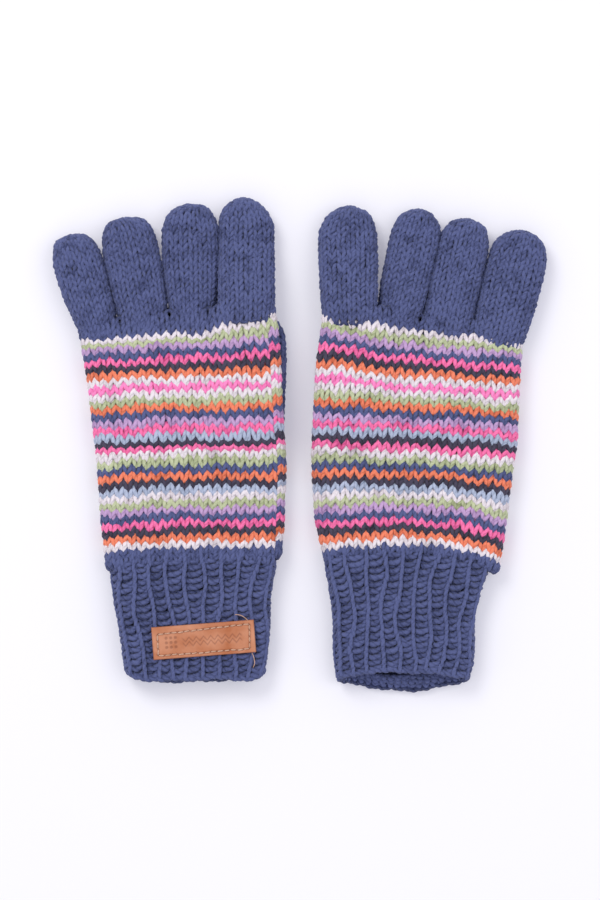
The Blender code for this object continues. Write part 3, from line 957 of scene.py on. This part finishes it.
def sew_seam(rng, thread, label):
    """The running stitches. Returns the places of their needle holes."""
    along = np.array([0.0, 0.12, 0.35, 0.65, 0.88, 1.0])
    rise = np.array([-0.55, 0.05, 0.30, 0.30, 0.05, -0.55]) * MM
    stray = 0.12 * MM
    holes = []
    corners = label.seam_corners()
    for (ax, ay), (bx, by) in zip(corners, corners[1:] + corners[:1]):
        count = max(2, round(math.hypot(bx - ax, by - ay) / SEAM_STITCH))
        for number in range(count):
            ends = []
            for part in ((number + 0.14) / count, (number + 0.86) / count):
                x = ax + (bx - ax) * part + rng.normal(0, stray)
                y = ay + (by - ay) * part + rng.normal(0, stray)
                ends.append((x, y))
            holes += ends
            (x0, y0), (x1, y1) = ends
            x = x0 + (x1 - x0) * along
            y = y0 + (y1 - y0) * along
            lay_thread(rng, thread, label.place(x, y, label.top + rise + label.sway(x, y)), THREAD_RADIUS)
    return holes


def loose_ends(rng, thread, label):
    """Two loose thread ends beyond the right-hand corners, each a start, a direction and a length."""
    points = 8
    for x0, y0, turn, reach in ((label.wide - 2.2 * MM, label.tall - 1.0 * MM, 2.3, 8.5 * MM),
                                (label.wide - 2.6 * MM, -label.tall + 1.0 * MM, -1.2, 9.0 * MM)):
        angle = turn + 0.9 * np.linspace(0, 1, points) ** 2 * np.sign(turn)
        step = reach / points
        x = x0 + np.cumsum(np.cos(angle)) * step
        y = y0 + np.cumsum(np.sin(angle)) * step
        outside = smooth(np.maximum(np.abs(x) - label.wide, np.abs(y) - label.tall) / MM)
        height = label.top + 0.2 * MM - 1.3 * MM * outside
        lay_thread(rng, thread, label.place(x, y, height), END_RADIUS, sides=5)


def pressed_pattern(x, y):
    """A plain pattern instead of a mark: a row of chevrons and a lattice of dots. 1 is pressed."""
    wave = np.abs(np.mod(x / CHEVRON, 1.0) - 0.5) * 4 - 1
    inside = smooth((x + 11 * MM) / MM) * smooth((19.5 * MM - x) / MM)
    pattern = np.zeros_like(x)
    for level in (-1.3 * MM, 0.9 * MM):
        line = bell((y - level + 0.2 * MM - 1.1 * MM * wave) / (0.42 * MM))
        pattern = np.maximum(pattern, line * inside)
    for i in range(3):
        for j in range(3):
            from_dot = np.hypot(x + (18.5 - DOT_SPACING * i) * MM, y + (2.5 - DOT_SPACING * j) * MM)
            pattern = np.maximum(pattern, smooth((0.95 * MM - from_dot) / (0.4 * MM)))
    return pattern


def plate_faces(across, down, rim):
    """The faces of the plate: a grid of quads on top, a side below its rim and one face underneath."""
    number = np.arange(across * down).reshape(across, down)
    quads = np.stack([number[:-1, :-1], number[1:, :-1], number[1:, 1:], number[:-1, 1:]], -1)
    faces = quads.reshape(-1, 4).tolist()
    total = across * down
    for k, here in enumerate(rim):
        after = (k + 1) % len(rim)
        faces.append([here, total + k, total + after, rim[after]])
    faces.append([total + k for k in range(len(rim))][::-1])
    return faces


def make_plate(label, holes):
    """The leather, with its rounded edge, pressed pattern and needle holes."""
    across, down = PLATE_GRID
    x = np.linspace(-label.wide, label.wide, across)[:, None] * np.ones(down)
    y = np.linspace(-label.tall, label.tall, down)[None] * np.ones((across, 1))
    edge = np.minimum(label.wide - np.abs(x), label.tall - np.abs(y))
    hole = bell(np.min([np.hypot(x - hx, y - hy) for hx, hy in holes], axis=0) / HOLE)
    pattern = pressed_pattern(x, y)
    rim_dark = EDGE_DARK * bell(edge / (0.35 * MM))
    # Darker places: the pressed pattern, painted shade in the needle holes and the darker rim
    pressed_and_shade = np.clip(PATTERN_DARK * pattern + HOLE_SHADE * hole + rim_dark, 0, 1)
    rounding = 0.5 * MM
    drop = rounding - np.sqrt(np.maximum(rounding ** 2 - np.maximum(rounding - edge, 0) ** 2, 0))
    z = label.top - drop + label.sway(x, y) - PATTERN_DEPTH * pattern - HOLE_DEPTH * hole

    lip = [(i, 0) for i in range(across)] + [(across - 1, j) for j in range(1, down)]
    lip += [(i, down - 1) for i in range(across - 2, -1, -1)] + [(0, j) for j in range(down - 2, 0, -1)]
    rim = [i * down + j for i, j in lip]
    rim_x, rim_y = x.ravel()[rim], y.ravel()[rim]
    below = label.place(rim_x, rim_y, label.bottom + label.sway(rim_x, rim_y))

    mesh = bpy.data.meshes.new("label_plate")
    points = np.concatenate([label.place(x, y, z).reshape(-1, 3), below])
    mesh.from_pydata(points.tolist(), [], plate_faces(across, down, rim))
    shade = mesh.attributes.new("pressed_and_shade", "FLOAT", "POINT")
    shade.data.foreach_set("value", np.r_[pressed_and_shade.ravel(), np.full(len(rim), SIDE_DARK)])
    mesh.shade_smooth()
    mesh.materials.append(leather("tan_leather"))
    return add_object("label_plate", mesh)


def make_label():
    """The leather label: a pressed plate, its running stitches and two loose thread ends."""
    rng = np.random.default_rng(LABEL_SEED)
    label = Label("leather_label")
    thread = Yarn()
    holes = sew_seam(rng, thread, label)
    plate = make_plate(label, holes)
    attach(plate, "left_cuff")
    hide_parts("leather_label")
    loose_ends(rng, thread, label)
    sewn = thread.piece("label_thread", wool("tan_thread", *THREAD))
    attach(sewn, "left_cuff")
    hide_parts("label_stitching")


for side_number, side in enumerate(("left", "right")):
    make_hand(side, side_number)
    make_cuff(side, side_number)
    for finger_number, name in enumerate(("index", "middle", "ring", "little")):
        make_finger(side, name, f"{name}_knuckle", 10 * side_number + finger_number, FINGER_COLUMNS)
    make_finger(side, "thumb", "thumb_fold", 10 * side_number + 5, THUMB_COLUMNS)
make_label()


# ---------------------------------------------------------------- floor, light and camera

def make_floor():
    """A plain pale floor, lightly lit from within so that it looks nearly white."""
    mesh = bpy.data.meshes.new("floor")
    corners = [(x * FLOOR_REACH, y * FLOOR_REACH, 0) for x, y in ((-1, -1), (1, -1), (1, 1), (-1, 1))]
    mesh.from_pydata(corners, [], [(0, 1, 2, 3)])
    shader = Shader("floor")
    shader.feed(shader.base, {
        "Base Color": (0.70, 0.695, 0.71, 1), "Roughness": 0.9,
        "Emission Color": (0.88, 0.86, 1.0, 1), "Emission Strength": 0.24,
    })
    mesh.materials.append(shader.material)
    floor = add_object("floor", mesh)
    floor.location.z = -FLOOR_DROP


def make_light():
    """Even light from all round and two soft lamps that look at the gloves' middle."""
    world = bpy.data.worlds.new("studio")
    world.use_nodes = True
    background = world.node_tree.nodes["Background"]
    background.inputs["Color"].default_value = (0.91, 0.915, 1.0, 1)
    background.inputs["Strength"].default_value = 0.86
    bpy.context.scene.world = world
    low, high = (np.array(v) for v in cad_bounds)
    middle = Vector((low + high) / 2)
    for name, place, size, power in LAMPS:
        light = bpy.data.lights.new(name, "AREA")
        light.shape = "DISK"
        light.size = size
        light.energy = power
        light.color = LAMP_COLOUR
        lamp = add_object(name, light)
        lamp.location = place
        lamp.rotation_euler = (middle - Vector(place)).to_track_quat("-Z", "Y").to_euler()


def make_camera():
    """The camera looks straight down, as the photograph's does."""
    camera = bpy.data.cameras.new("camera")
    camera.sensor_fit = "VERTICAL"
    camera.sensor_height = SENSOR
    camera.lens = SENSOR * CAMERA_HEIGHT / VIEW_HEIGHT
    camera.clip_start = 0.05
    holder = add_object("camera", camera)
    holder.location = (0, CAMERA_SHIFT, CAMERA_HEIGHT)
    bpy.context.scene.camera = holder
    bpy.context.scene.view_settings.view_transform = "Standard"


make_floor()
make_light()
make_camera()
